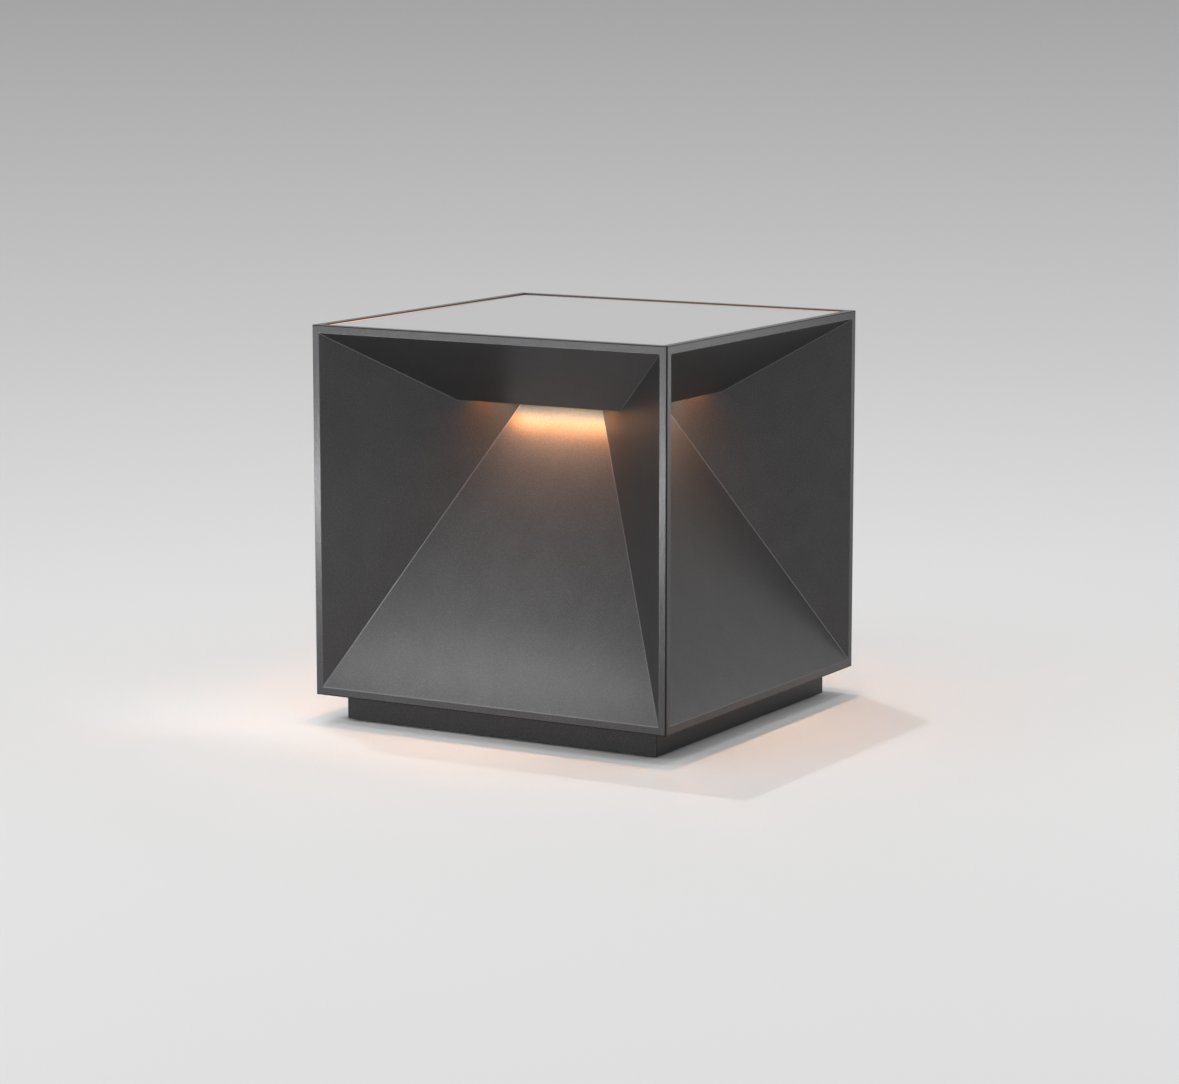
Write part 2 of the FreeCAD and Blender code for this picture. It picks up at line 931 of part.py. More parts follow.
def holder_screws():
    flange_low = battery_levels()[2]
    strap_low = flange_low - strap_thickness
    tip = plinth_height - hole_reserve - screw_play
    screws = [screw(x, y, flange_low, tip, board_screw) for x, y in holder_screw_spots()]
    screws += [screw(x, y, strap_low, tip, board_screw) for x, y in strap_screw_spots()]
    return screws


def board(x0, x1, y0, y1):
    plate = box(x0, x1, y0, y1, board_low, board_top)
    holes = []
    for x, y in board_screw_spots(x0, x1, y0, y1):
        holes.append(pass_hole(x, y, board_low - over, board_top + over, board_screw))
    return plate.cut(holes)


def charge_board():
    notch_side = button_width / 2 + button_flange_side + button_gap * 2
    notch_low = tray_half - button_seat_gap - button_flange - button_travel - port_gap
    notch = box(
        button_place - notch_side,
        button_place + notch_side,
        notch_low,
        tray_half + over,
        board_low - over,
        board_top + over,
    )
    return board(*charge_box()).cut(notch)


def board_screws(place):
    tip = plinth_height - hole_reserve - screw_play
    return [screw(x, y, board_low, tip, board_screw) for x, y in board_screw_spots(*place)]


def plug(x, y, along_x, along_y):
    return box(x, x + along_x, y, y + along_y, board_low - part_height, board_low)


def driver_components():
    """The lead plugs, the coil, two capacitors and the control chip under the driver board."""
    x0, x1, y0, y1 = driver_box()
    wide = plug_width / 2
    coil_x = (x0 + x1) / 2 - plug_length / 2
    coil_y = y0 + driver_width / 4
    can_x = x0 + driver_length / 5
    chip = plug_length / 2
    low = board_low - part_height
    parts = [
        plug(x1 - plug_length, -wide, plug_length, plug_width),
        plug(link_place - wide, y1 - plug_length, plug_width, plug_length),
        rod(coil_x, coil_y, low, board_low, plug_length / 2),
    ]
    for y in (y0 + driver_width / 2, y1 - driver_width / 4):
        parts.append(rod(can_x, y, low, board_low, plug_width / 2))
    chip_y = y1 - driver_width / 3
    chip_low = board_low - part_height / 3
    parts.append(box(coil_x - chip, coil_x + chip, chip_y - chip, chip_y + chip, chip_low, board_low))
    return parts


def charge_components():
    """The two lead plugs and the charge chip under the charge board."""
    x0, x1, y0, y1 = charge_box()
    wide = plug_width / 2
    chip = plug_length / 3
    chip_y = y0 + charge_width / 3
    chip_low = board_low - part_height / 3
    return [
        plug(link_place - wide, y0, plug_width, plug_length),
        plug(battery_place - wide, y0, plug_width, plug_length),
        box(-chip, chip, chip_y - chip, chip_y + chip, chip_low, board_low),
    ]


def straight_lead(x, y0, y1):
    return rod_in(x, plug_height, y0, y1, lead_radius)


def battery_lead():
    start = holder_centre + holder_half()[1] + holder_flange
    return straight_lead(battery_place, start, charge_box()[2])


def link_lead():
    return straight_lead(link_place, driver_box()[3], charge_box()[2])


def cable_clip(x, y):
    side = lead_radius + clip_wall
    low = plug_height - side
    block = box(x - side, x + side, y - clip_length / 2, y + clip_length / 2, low, web_low)
    bore = rod_in(x, plug_height, y - clip_length, y + clip_length, lead_radius + screw_play)
    return block.cut(bore)


def cable_clips():
    start = holder_centre + holder_half()[1] + holder_flange
    end = charge_box()[2]
    clips = [cable_clip(battery_place, start + (end - start) * step / 3) for step in (1, 2)]
    clips.append(cable_clip(link_place, (driver_box()[3] + end) / 2))
    return clips


def usb_socket():
    """An open metal shell with the contact tongue inside, under the charge board."""
    mouth = plinth_half - door_sink - door_thickness - door_back_gap - port_setback
    back = mouth - port_length
    shell = pill(port_place, port_height_place, port_width, port_height, back, mouth)
    inner_wide = port_width - port_wall * 2
    inner_tall = port_height - port_wall * 2
    floor = back + port_floor
    hollow = pill(port_place, port_height_place, inner_wide, inner_tall, floor, mouth + over)
    wide = tongue_width / 2
    thin = tongue_thickness / 2
    tongue = box(
        port_place - wide,
        port_place + wide,
        back,
        floor + tongue_length,
        port_height_place - thin,
        port_height_place + thin,
    )
    return joined(shell.cut(hollow), [tongue])


def button_flange_face():
    return tray_half - button_seat_gap


def power_button():
    front = button_flange_face()
    face = plinth_half + button_proud
    cap = pill(button_place, port_height_place, button_width, button_height, front - button_flange, face)
    rim = edges_with(cap, lambda point: point.y > plinth_half)
    cap = cap.makeFillet(button_round, rim)
    side = button_width / 2 + button_flange_side
    rise = button_height / 2 + button_flange_rise
    flange = box(
        button_place - side,
        button_place + side,
        front - button_flange,
        front,
        port_height_place - rise,
        port_height_place + rise,
    )
    return joined(cap, [flange])


def switch_front():
    return button_flange_face() - button_flange - button_travel - switch_gap


def switch_plunger():
    start = switch_front() - plunger_grip
    end = button_flange_face() - button_flange
    return rod_in(button_place, port_height_place, start, end, plunger_radius)


def switch_body():
    front = switch_front()
    side = switch_width / 2
    low = board_low - switch_height
    body = box(button_place - side, button_place + side, front - switch_depth, front, low, board_low)
    floor = front - plunger_grip - button_travel - switch_floor_gap
    bore = rod_in(button_place, port_height_place, floor, front + over, plunger_radius + plunger_gap)
    return body.cut(bore)


def port_door():
    hinge_x, hinge_y, far = door_place()
    face = plinth_half - door_sink
    low = port_height_place - door_height / 2
    high = port_height_place + door_height / 2
    plate = box(hinge_x, far, face - door_thickness, face, low, high)
    barrel = rod(hinge_x, hinge_y, low, high, barrel_radius)
    nail_low = port_height_place - nail_width / 2
    nail_end = far - nail_length
    nail = box(nail_end - nail_length, nail_end, face - nail_depth, face + over, nail_low, nail_low + nail_width)
    bore = rod(hinge_x, hinge_y, low - over, high + over, pin_radius + hinge_fit)
    return joined(plate, [barrel]).cut([nail, bore])


def door_pin():
    hinge_x, hinge_y, far = door_place()
    low, high = pin_ends()
    return rod(hinge_x, hinge_y, low, high, pin_radius)


def nodes():
    """Every node with its one solid or its group of solids."""
    shell = front_shell()
    pieces = {
        "side_shell_front": shell,
        "side_shell_right": turned(shell, 1),
        "side_shell_back": turned(shell, 2),
        "side_shell_left": turned(shell, 3),
        "top_glass": top_glass(),
        "top_gasket": top_gasket(),
        "corner_brackets": all_round(corner_bracket),
        "bracket_screws": bracket_screws(),
        "lamp_cover": lamp_cover(),
        "cover_screws": cover_screws(),
        "led_windows": all_round(led_window),
        "led_board": led_board(),
        "led_modules": all_round(led_module),
        "led_board_screws": led_board_screws(),
        "led_socket": led_socket(),
        "lamp_carrier": lamp_carrier(),
        "carrier_screws": carrier_screws(),
        "pyramid_seal": pyramid_seal(),
        "centre_column": centre_column(),
        "column_nut": column_nut(),
        "led_lead": led_lead(),
        "plinth_tray": plinth_tray(),
        "base_plate": base_plate(),
        "base_screws": base_screws(),
        "rubber_feet": [rubber_foot(x, y) for x, y in corners_of(foot_place, foot_place)],
        "shell_screws": shell_screws(),
        "battery_holder": battery_holder(),
        "battery_cells": battery_cells(),
        "battery_contacts": battery_contacts(),
        "battery_strap": battery_strap(),
        "holder_screws": holder_screws(),
        "driver_board": board(*driver_box()),
        "driver_components": driver_components(),
        "driver_screws": board_screws(driver_box()),
        "charge_board": charge_board(),
        "charge_components": charge_components(),
        "charge_screws": board_screws(charge_box()),
        "usb_socket": usb_socket(),
        "battery_lead": battery_lead(),
        "link_lead": link_lead(),
        "cable_clips": cable_clips(),
        "switch_body": switch_body(),
        "switch_plunger": switch_plunger(),
        "power_button": power_button(),
        "port_door": port_door(),
        "door_pin": door_pin(),
    }
    return pieces


def main():
    os.makedirs("parts", exist_ok=True)
    for name, piece in nodes().items():
        shape = Part.makeCompound(piece) if isinstance(piece, list) else piece
        solids = shape.Solids
        if len(solids) == 1:
            shape = solids[0]
        bounds = shape.BoundBox
        print(
            f"{name}: {len(solids)} solids, valid {shape.isValid()}, volume {shape.Volume:.1f}, "
            f"z {bounds.ZMin:.2f} to {bounds.ZMax:.2f}"
        )
        shape.exportStep(f"parts/{name}.step")


main()
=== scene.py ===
# %% [markdown]
# # A cordless table lamp in cast, powder-coated aluminium
#
# The lamp is a square block, 200 mm each way. Each side has a deep faceted recess, and a warm
# light shines down inside it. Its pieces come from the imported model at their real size, so this
# lesson gives them their finishes, sets the lamp on a pale floor, lights it and places the camera.
# Lengths are written in millimetres and turned to metres with mm.

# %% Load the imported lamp
import json
import math

import bpy
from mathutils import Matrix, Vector

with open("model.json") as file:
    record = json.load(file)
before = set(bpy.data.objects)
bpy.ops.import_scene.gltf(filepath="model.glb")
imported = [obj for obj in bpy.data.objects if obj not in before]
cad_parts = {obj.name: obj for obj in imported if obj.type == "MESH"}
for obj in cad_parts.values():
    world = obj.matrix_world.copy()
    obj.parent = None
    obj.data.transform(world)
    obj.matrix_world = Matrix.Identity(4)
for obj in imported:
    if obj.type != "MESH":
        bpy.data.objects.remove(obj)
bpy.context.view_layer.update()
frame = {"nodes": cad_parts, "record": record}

mm = 0.001

# %% [markdown]
# ## Small helpers
#
# A colour is read off as an sRGB hex value, as a painter would note it. A renderer works in linear
# light, so one function turns the one into the other. A second small function adds a node to a
# material with its settings and its links, which keeps every finish below short enough to read.
# Every pattern is worked out in the piece's own space. It needs no picture and no unwrapping, it
# stays sharp from close by, and its scale comes straight from a size in millimetres.

# %% Colour and node helpers
pattern_low, pattern_middle, pattern_high = 0.3, 0.5, 0.7


def linear(code, alpha=1.0):
    """An sRGB hex code as a linear colour."""
    shades = [int(code[i:i + 2], 16) / 255 for i in (1, 3, 5)]
    return [s / 12.92 if s <= 0.04045 else ((s + 0.055) / 1.055) ** 2.4 for s in shades] + [alpha]


def add(tree, kind, values=None, links=None, stops=(), **settings):
    """Adds one node: its settings, the values and links of its sockets, and a ramp's colours."""
    node = tree.nodes.new(kind)
    for name, value in settings.items():
        setattr(node, name, value)
    for socket, value in (values or {}).items():
        node.inputs[socket].default_value = value
    for socket, source in (links or {}).items():
        tree.links.new(source, node.inputs[socket])
    for level, code in stops[1:-1]:
        node.color_ramp.elements.new(level)
    for number, (level, code) in enumerate(stops):
        node.color_ramp.elements[number].position = level
        node.color_ramp.elements[number].color = linear(code)
    return node


def empty_tree(owner):
    """The node tree of a material or a world, with nothing in it."""
    owner.use_nodes = True
    owner.node_tree.nodes.clear()
    return owner.node_tree


def new_finish(name):
    """A new material, its tree, and the place of each point in the piece's own space."""
    material = bpy.data.materials.new(name)
    tree = empty_tree(material)
    place = add(tree, "ShaderNodeTexCoord").outputs["Object"]
    return material, tree, place


def clear_pattern(low, high):
    """A noise stays near its middle, so that range is mapped to the values from low to high."""
    return {"From Min": pattern_low, "From Max": pattern_high, "To Min": low, "To Max": high}


print("helpers ready; mid grey is", [round(v, 3) for v in linear("#808080")[:3]])

# %% [markdown]
# ## The camera
#
# The lamp is seen from its front right corner, from a little above, through a long lens: its
# upright edges run almost parallel. The place and the aim come from a fit of the lamp's own
# corners, so that the render lies over the view that they were fitted to.

# %% Place the camera
eye = Vector((908.5 * mm, -1563.6 * mm, 379.6 * mm))
heading = math.radians(30.155)
dip = math.radians(9.233)
focal_length = 110.195
sensor_width = 36.0
sight = 200.0

lens = bpy.data.cameras.new("long_lens")
lens.lens = focal_length
lens.sensor_width = sensor_width
lens.clip_end = sight
camera = bpy.data.objects.new("camera", lens)
camera.location = eye
camera.rotation_euler = (math.pi / 2 - dip, 0, heading)
bpy.context.scene.collection.objects.link(camera)
bpy.context.scene.camera = camera
bpy.context.scene.view_settings.view_transform = "Standard"
print("camera", round(eye.length, 3), "m from the lamp, lens", focal_length, "mm")

# %% [markdown]
# ## Where a point lies on a casting
#
# Some of the finish depends on the place: the edges of the castings, and a line of light under the
# rim. All four sides have the same planes, turned by a quarter. So the larger of |x| and |y| says
# how far out a point lies and the smaller one how far across, and one test serves all four sides.
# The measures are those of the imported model: heights, distances from the axis, and two slopes.

# %% The planes of the castings
face_place = 100.0 * mm
fin_step = 4.0 * mm
floor_start = 18.4 * mm
floor_rise = 1.9224
roof_start = 196.0 * mm
roof_fall = 0.715
roof_end = 50.0 * mm
frame_foot = 14.4 * mm
frame_top = 200.0 * mm


def find_place(tree, place):
    """How far out and how far across a point lies, and its three coordinates."""
    parts = add(tree, "ShaderNodeSeparateXYZ", links={"Vector": place}).outputs
    wide, deep = [
        add(tree, "ShaderNodeMath", links={0: parts[axis]}, operation="ABSOLUTE").outputs[0]
        for axis in ("X", "Y")
    ]
    outward, across = [
        add(tree, "ShaderNodeMath", links={0: wide, 1: deep}, operation=kind).outputs[0]
        for kind in ("MAXIMUM", "MINIMUM")
    ]
    return outward, across, parts


slopes = [round(math.degrees(math.atan(rise)), 1) for rise in (floor_rise, roof_fall)]
print("slopes of pyramid and hopper:", slopes, "degrees")

# %% [markdown]
# ## The edges of the castings
#
# Where two faces of a recess meet, and on the sharp rim of the mouth, the edge catches the light
# as a fine pale line, which draws the whole form. The outer edges of the frame show as a fine dark
# line instead. These lines are under half a millimetre wide, and modelling their rounds would take
# very many faces. So they are coloured: the pale line is a painted highlight, where a point is close
# to two planes at once.

# %% Masks for the edges
highlight_reach = 0.22 * mm
dark_edge_reach = 0.5 * mm
more_than_one = 1.5


def casting_edges(tree, outward, across, height):
    """Masks for the painted highlights inside a recess and round its mouth, and the frame's dark
    edges.
    """
    step = add(
        tree,
        "ShaderNodeMath",
        links={0: outward, 1: across},
        operation="SUBTRACT",
    ).outputs[0]
    floor_level, roof_level = [
        add(
            tree,
            "ShaderNodeMath",
            {1: slope},
            {0: outward, 2: height},
            operation="MULTIPLY_ADD",
        ).outputs[0]
        for slope in (floor_rise, -roof_fall)
    ]
    floor_at_face = floor_start + floor_rise * face_place
    roof_at_face = roof_start - roof_fall * face_place
    mouth_middle = (roof_start + floor_start) / 2
    mouth_half = (roof_start - floor_start) / 2
    on_face, on_fin, on_floor, on_roof, in_mouth, at_mitre, at_foot, at_top = [
        add(
            tree,
            "ShaderNodeMath",
            {1: level, 2: reach},
            {0: source},
            operation="COMPARE",
        ).outputs[0]
        for source, level, reach in (
            (outward, face_place, highlight_reach),
            (step, fin_step, highlight_reach * math.hypot(1, 1)),
            (floor_level, floor_at_face, highlight_reach * math.hypot(1, floor_rise)),
            (roof_level, roof_at_face, highlight_reach * math.hypot(1, roof_fall)),
            (height, mouth_middle, mouth_half + highlight_reach),
            (step, 0, dark_edge_reach),
            (height, frame_foot, dark_edge_reach),
            (height, frame_top, dark_edge_reach),
        )
    ]
    under_roof, past_fin = [
        add(
            tree,
            "ShaderNodeMath",
            {1: limit},
            {0: source},
            operation="GREATER_THAN",
        ).outputs[0]
        for source, limit in ((outward, roof_end), (step, fin_step - 2 * highlight_reach))
    ]
    on_slope = add(
        tree,
        "ShaderNodeMath",
        links={0: on_roof, 1: under_roof, 2: on_floor},
        operation="MULTIPLY_ADD",
    ).outputs[0]
    on_upright = add(
        tree,
        "ShaderNodeMath",
        links={0: on_face, 1: on_fin},
        operation="ADD",
    ).outputs[0]
    count = add(
        tree,
        "ShaderNodeMath",
        links={0: on_slope, 1: past_fin, 2: on_upright},
        operation="MULTIPLY_ADD",
    ).outputs[0]
    two_planes = add(
        tree,
        "ShaderNodeMath",
        {1: more_than_one},
        {0: count},
        operation="GREATER_THAN",
    ).outputs[0]
    # Painted highlight: pale where a point is close to two planes at once, inside the mouth
    highlight_lines = add(
        tree,
        "ShaderNodeMath",
        links={0: two_planes, 1: in_mouth},
        operation="MULTIPLY",
    ).outputs[0]
    # A fine dark line along the frame's outer edges: at the mitre, the foot and the top
    frame_ends = at_mitre
    for end in (at_foot, at_top):
        frame_ends = add(
            tree,
            "ShaderNodeMath",
            links={0: frame_ends, 1: end},
            operation="MAXIMUM",
        ).outputs[0]
    # The mouth's painted highlight and the dark outer edges lie on the outer face
    mouth, dark_edges = [
        add(tree, "ShaderNodeMath", links={0: on_face, 1: mask}, operation="MULTIPLY").outputs[0]
        for mask in (highlight_lines, frame_ends)
    ]
    return highlight_lines, mouth, dark_edges


print("beads are", round(2 * highlight_reach / mm, 2), "mm wide")

# %% [markdown]
# ## The warm line under the rim
#
# The pane lies 0.8 mm below the rim, with a narrow gap round it. Light from the lamp leaves through
# that gap and catches the foot of the rim's inner wall, as a thin warm line that fades out towards
# the far left corner. It is far too fine to light with a lamp of its own, so that strip of the wall
# glows a little. The wall stands 96 mm from the lamp's axis, and a strip of it is found by height.

# %% Mask for the warm line
rim_wall = 96.0 * mm
wall_reach = 0.05 * mm
strip_middle = 199.1 * mm
strip_reach = 0.3 * mm
strip_strength = 1.1
weakest_strip = 0.05
strip_colour = "#ffbc9a"
share_of_x = 0.5
fade_far = -150.0 * mm
fade_near = 10.0 * mm


def warm_strip(tree, outward, parts):
    """The glow at the foot of the rim's inner wall, and zero elsewhere."""
    on_wall, at_foot = [
        add(
            tree,
            "ShaderNodeMath",
            {1: level, 2: reach},
            {0: source},
            operation="COMPARE",
        ).outputs[0]
        for source, level, reach in (
            (outward, rim_wall, wall_reach),
            (parts["Z"], strip_middle, strip_reach),
        )
    ]
    on_strip = add(
        tree,
        "ShaderNodeMath",
        links={0: on_wall, 1: at_foot},
        operation="MULTIPLY",
    ).outputs[0]
    aside = add(
        tree,
        "ShaderNodeMath",
        {1: share_of_x},
        {0: parts["X"]},
        operation="MULTIPLY",
    ).outputs[0]
    nearness = add(
        tree,
        "ShaderNodeMath",
        links={0: aside, 1: parts["Y"]},
        operation="SUBTRACT",
    ).outputs[0]
    fade = add(
        tree,
        "ShaderNodeMapRange",
        {
            "From Min": fade_far,
            "From Max": fade_near,
            "To Min": weakest_strip,
            "To Max": strip_strength,
        },
        {"Value": nearness},
    ).outputs["Result"]
    return add(
        tree,
        "ShaderNodeMath",
        links={0: on_strip, 1: fade},
        operation="MULTIPLY",
    ).outputs[0]


strip_ends = [round((strip_middle + side * strip_reach) / mm, 1) for side in (-1, 1)]
print("warm strip between the heights", strip_ends, "mm")

# %% [markdown]
# ## The powder coat
#
# The sides and the plinth are die castings under an anthracite powder coat. The powder is sprayed
# on dry and melts in an oven, so it ends as a fine, slightly rough skin with a trace of metal
# flake: it has a soft sheen, and it sparkles a little where the light grazes it. One fine noise
# drives the flake's tone, the sheen and a low bump together, since on the real skin the same grains
# make all three. The real grain is near 0.2 mm and would vanish at this distance, so it is drawn
# coarser, at about half a millimetre.

# %% Powder coat on cast aluminium
grit_size = 0.45 * mm
grit_height = 0.03 * mm
grit_smooth, grit_rough = 0.04, 0.05
bright_grain = 0.72
cloud_size = 14.0 * mm
cloud_share = 0.1
# The sockets of a Mix node that hold its two colours, and the one that gives its result
mix_below, mix_above, mix_result = 6, 7, 2


def powder_coat(name, dark, middle, light, rough, metal, edges=()):
    """Powder with grains from dark to light. Edges: painted highlight, mouth highlight, dark edge."""
    material, tree, place = new_finish(name)
    grit = add(
        tree,
        "ShaderNodeTexNoise",
        {"Scale": 1 / grit_size, "Detail": 2.0, "Roughness": 0.6},
        {"Vector": place},
    ).outputs["Fac"]
    cloud = add(
        tree,
        "ShaderNodeTexNoise",
        {"Scale": 1 / cloud_size, "Detail": 1.0},
        {"Vector": place},
    ).outputs["Fac"]
    flake = add(
        tree,
        "ShaderNodeValToRGB",
        links={"Fac": grit},
        stops=[(pattern_low, dark), (pattern_middle, middle), (bright_grain, light)],
    ).outputs["Color"]
    tone = add(
        tree,
        "ShaderNodeMix",
        {"Factor": cloud_share},
        {mix_below: flake, mix_above: cloud},
        data_type="RGBA",
        blend_type="OVERLAY",
    ).outputs[mix_result]
    sheen = add(
        tree,
        "ShaderNodeMapRange",
        clear_pattern(rough - grit_smooth, rough + grit_rough),
        {"Value": grit},
    ).outputs["Result"]
    skin = add(
        tree,
        "ShaderNodeBump",
        {"Distance": grit_height, "Strength": 0.4},
        {"Height": grit},
    ).outputs["Normal"]
    values = {"Metallic": metal}
    links = {"Roughness": sheen, "Normal": skin}
    # Only the sides have a recess, with painted highlights and dark lines on its edges and the warm
    # strip under the rim
    if edges:
        outward, across, parts = find_place(tree, place)
        for colour, mask in zip(edges, casting_edges(tree, outward, across, parts["Z"])):
            tone = add(
                tree,
                "ShaderNodeMix",
                {mix_above: linear(colour)},
                {"Factor": mask, mix_below: tone},
                data_type="RGBA",
            ).outputs[mix_result]
        values["Emission Color"] = linear(strip_colour)
        links["Emission Strength"] = warm_strip(tree, outward, parts)
    links["Base Color"] = tone
    shader = add(tree, "ShaderNodeBsdfPrincipled", values, links)
    add(tree, "ShaderNodeOutputMaterial", links={"Surface": shader.outputs[0]})
    return material


# The sides have the smoothest coat, and the painted pale highlights and dark lines on their edges
side_coat = powder_coat(
    "powder_coat_on_cast_aluminium",
    "#404041",
    "#484849",
    "#565657",
    rough=0.32,
    metal=0.7,
    edges=("#66686b", "#525356", "#1d1d1f"),
)
# The plinth's coat is darker, as painted shade under the overhanging body, and duller, so that the
# plinth steps back under it
plinth_coat_painted_shade = powder_coat(
    "powder_coat_on_plinth_with_painted_shade",
    "#2a2a2b",
    "#323233",
    "#3f3f40",
    rough=0.4,
    metal=0.7,
)
# The ceiling plate's coat is nearly that of the sides, only a little darker
ceiling_coat = powder_coat(
    "powder_coat_on_ceiling_plate",
    "#3b3b3c",
    "#444445",
    "#525253",
    rough=0.36,
    metal=0.7,
)
print("coats:", side_coat.name, plinth_coat_painted_shade.name, ceiling_coat.name)

# %% [markdown]
# ## The satin glass
#
# The top is a pane of toughened glass, etched to a satin finish and printed light grey on its back.
# The eye sees an even pale grey with a broad, milky sheen and hardly any reflection. A clear shader
# over a grey sheet would give that too, with more noise, but the print lets nothing through, so a
# pale surface with a rough gloss is enough. The grain of the etching is a few hundredths of a
# millimetre, far too fine to show, so it is drawn coarser. Light from the lamp below runs along
# inside the pane and leaves at its cut edge. The edge is the only part of the pane that faces
# sideways, so that is how it is found, and it glows weakly in the gap round the pane.

# %% Etched and printed glass
haze_size = 1.2 * mm
etch_depth = 0.01 * mm
etch_smooth, etch_rough = 0.42, 0.5
sideways = 0.3
edge_glow = 2.0
edge_colour = "#ffa478"


def satin_glass():
    """Grey print under satin glass, with a glowing edge."""
    material, tree, place = new_finish("etched_glass_printed_grey")
    haze = add(
        tree,
        "ShaderNodeTexNoise",
        {"Scale": 1 / haze_size, "Detail": 2.0},
        {"Vector": place},
    ).outputs["Fac"]
    print_tone = add(
        tree,
        "ShaderNodeValToRGB",
        links={"Fac": haze},
        stops=[(pattern_low, "#b3b3b4"), (pattern_middle, "#b7b7b8"), (pattern_high, "#bbbbbb")],
    ).outputs["Color"]
    etched = add(
        tree,
        "ShaderNodeMapRange",
        clear_pattern(etch_smooth, etch_rough),
        {"Value": haze},
    ).outputs["Result"]
    relief = add(
        tree,
        "ShaderNodeBump",
        {"Distance": etch_depth, "Strength": 0.4},
        {"Height": haze},
    ).outputs["Normal"]
    pane = add(
        tree,
        "ShaderNodeBsdfPrincipled",
        {"IOR": 1.52},
        {"Base Color": print_tone, "Roughness": etched, "Normal": relief},
    )
    facing = add(tree, "ShaderNodeNewGeometry").outputs["Normal"]
    upward = add(tree, "ShaderNodeSeparateXYZ", links={"Vector": facing}).outputs["Z"]
    steep = add(tree, "ShaderNodeMath", links={0: upward}, operation="ABSOLUTE").outputs[0]
    edge = add(
        tree,
        "ShaderNodeMath",
        {1: sideways},
        {0: steep},
        operation="LESS_THAN",
    ).outputs[0]
    glow = add(tree, "ShaderNodeEmission", {"Color": linear(edge_colour), "Strength": edge_glow})
    both = add(
        tree,
        "ShaderNodeMixShader",
        links={0: edge, 1: pane.outputs[0], 2: glow.outputs[0]},
    )
    add(tree, "ShaderNodeOutputMaterial", links={"Surface": both.outputs[0]})
    return material


top_glass_finish = satin_glass()
print("glass:", top_glass_finish.name)

# %% [markdown]
# ## The lit windows
#
# Each recess has an opal window in its ceiling, through which warm white chips shine down. Opal
# acrylic scatters the light evenly, so the window itself is the light source: an emission in the
# colour of a 2700 K lamp. A shader that lets real light through would be slower and noisier. The
# pigment in the acrylic is too fine to show, so it is drawn as very faint clouds, 3 mm across.

# %% Opal windows
window_strength = 2.0
window_colour = "#ffb67a"
milk_size = 3.0 * mm
milk_contrast = 0.03


def opal_acrylic():
    """Milky acrylic that is lit from behind."""
    material, tree, place = new_finish("opal_acrylic_lit_from_behind")
    milk = add(
        tree,
        "ShaderNodeTexNoise",
        {"Scale": 1 / milk_size, "Detail": 1.0},
        {"Vector": place},
    ).outputs["Fac"]
    tone = add(
        tree,
        "ShaderNodeValToRGB",
        links={"Fac": milk},
        stops=[(pattern_low, "#efe8dc"), (pattern_high, "#f7f1e8")],
    ).outputs["Color"]
    weakest, strongest = [window_strength * (1 + side * milk_contrast) for side in (-1, 1)]
    power = add(
        tree,
        "ShaderNodeMapRange",
        clear_pattern(weakest, strongest),
        {"Value": milk},
    ).outputs["Result"]
    shader = add(
        tree,
        "ShaderNodeBsdfPrincipled",
        {"Roughness": 0.4, "IOR": 1.49, "Emission Color": linear(window_colour)},
        {"Base Color": tone, "Emission Strength": power},
    )
    add(tree, "ShaderNodeOutputMaterial", links={"Surface": shader.outputs[0]})
    return material


window_finish = opal_acrylic()
print("windows glow at", window_strength)

# %% [markdown]
# ## The chips behind the windows
#
# A chip is a tiny blue light under a dot of yellow phosphor, which turns it to warm white, and it
# sits in a pale frame. The dots lie at even distances, so a regular cell pattern draws them: the
# distance from the middle of a cell says where the phosphor ends and the frame starts.

# %% Phosphor dots
chip_pitch = 2.8 * mm
chip_glow = 2.0
chip_colour = "#ffc27a"
dot_end, frame_start = 0.25, 0.35


def phosphor():
    """A row of phosphor dots in their pale frame."""
    material, tree, place = new_finish("phosphor_on_led_chips")
    dots = add(
        tree,
        "ShaderNodeTexVoronoi",
        {"Scale": 1 / chip_pitch, "Randomness": 0.0},
        {"Vector": place},
    ).outputs["Distance"]
    tone = add(
        tree,
        "ShaderNodeValToRGB",
        links={"Fac": dots},
        stops=[(dot_end, "#f0d060"), (frame_start, "#f4f1e6")],
    ).outputs["Color"]
    shader = add(
        tree,
        "ShaderNodeBsdfPrincipled",
        {"Roughness": 0.5, "Emission Color": linear(chip_colour), "Emission Strength": chip_glow},
        {"Base Color": tone},
    )
    add(tree, "ShaderNodeOutputMaterial", links={"Surface": shader.outputs[0]})
    return material


chip_finish = phosphor()
print("a chip every", round(chip_pitch / mm, 1), "mm")

# %% [markdown]
# ## Steel, aluminium and nickel
#
# The screws and the column are steel with a thin zinc plating, which dulls to a blueish grey. The
# plates inside are milled aluminium, with fine parallel tool marks. The battery's contacts and
# strap are nickel-plated strip. All of them are bare metal: metallic is 1, and only colour,
# roughness and the direction of the marks tell them apart. A noise that is squeezed along one axis
# turns into such marks. These pieces lie inside the body, so their marks keep a fine scale, which
# shows only from close by when the lamp is taken apart.

# %% Bare metals
mark_height = 0.01 * mm
mark_smooth, mark_rough = 0.06, 0.08


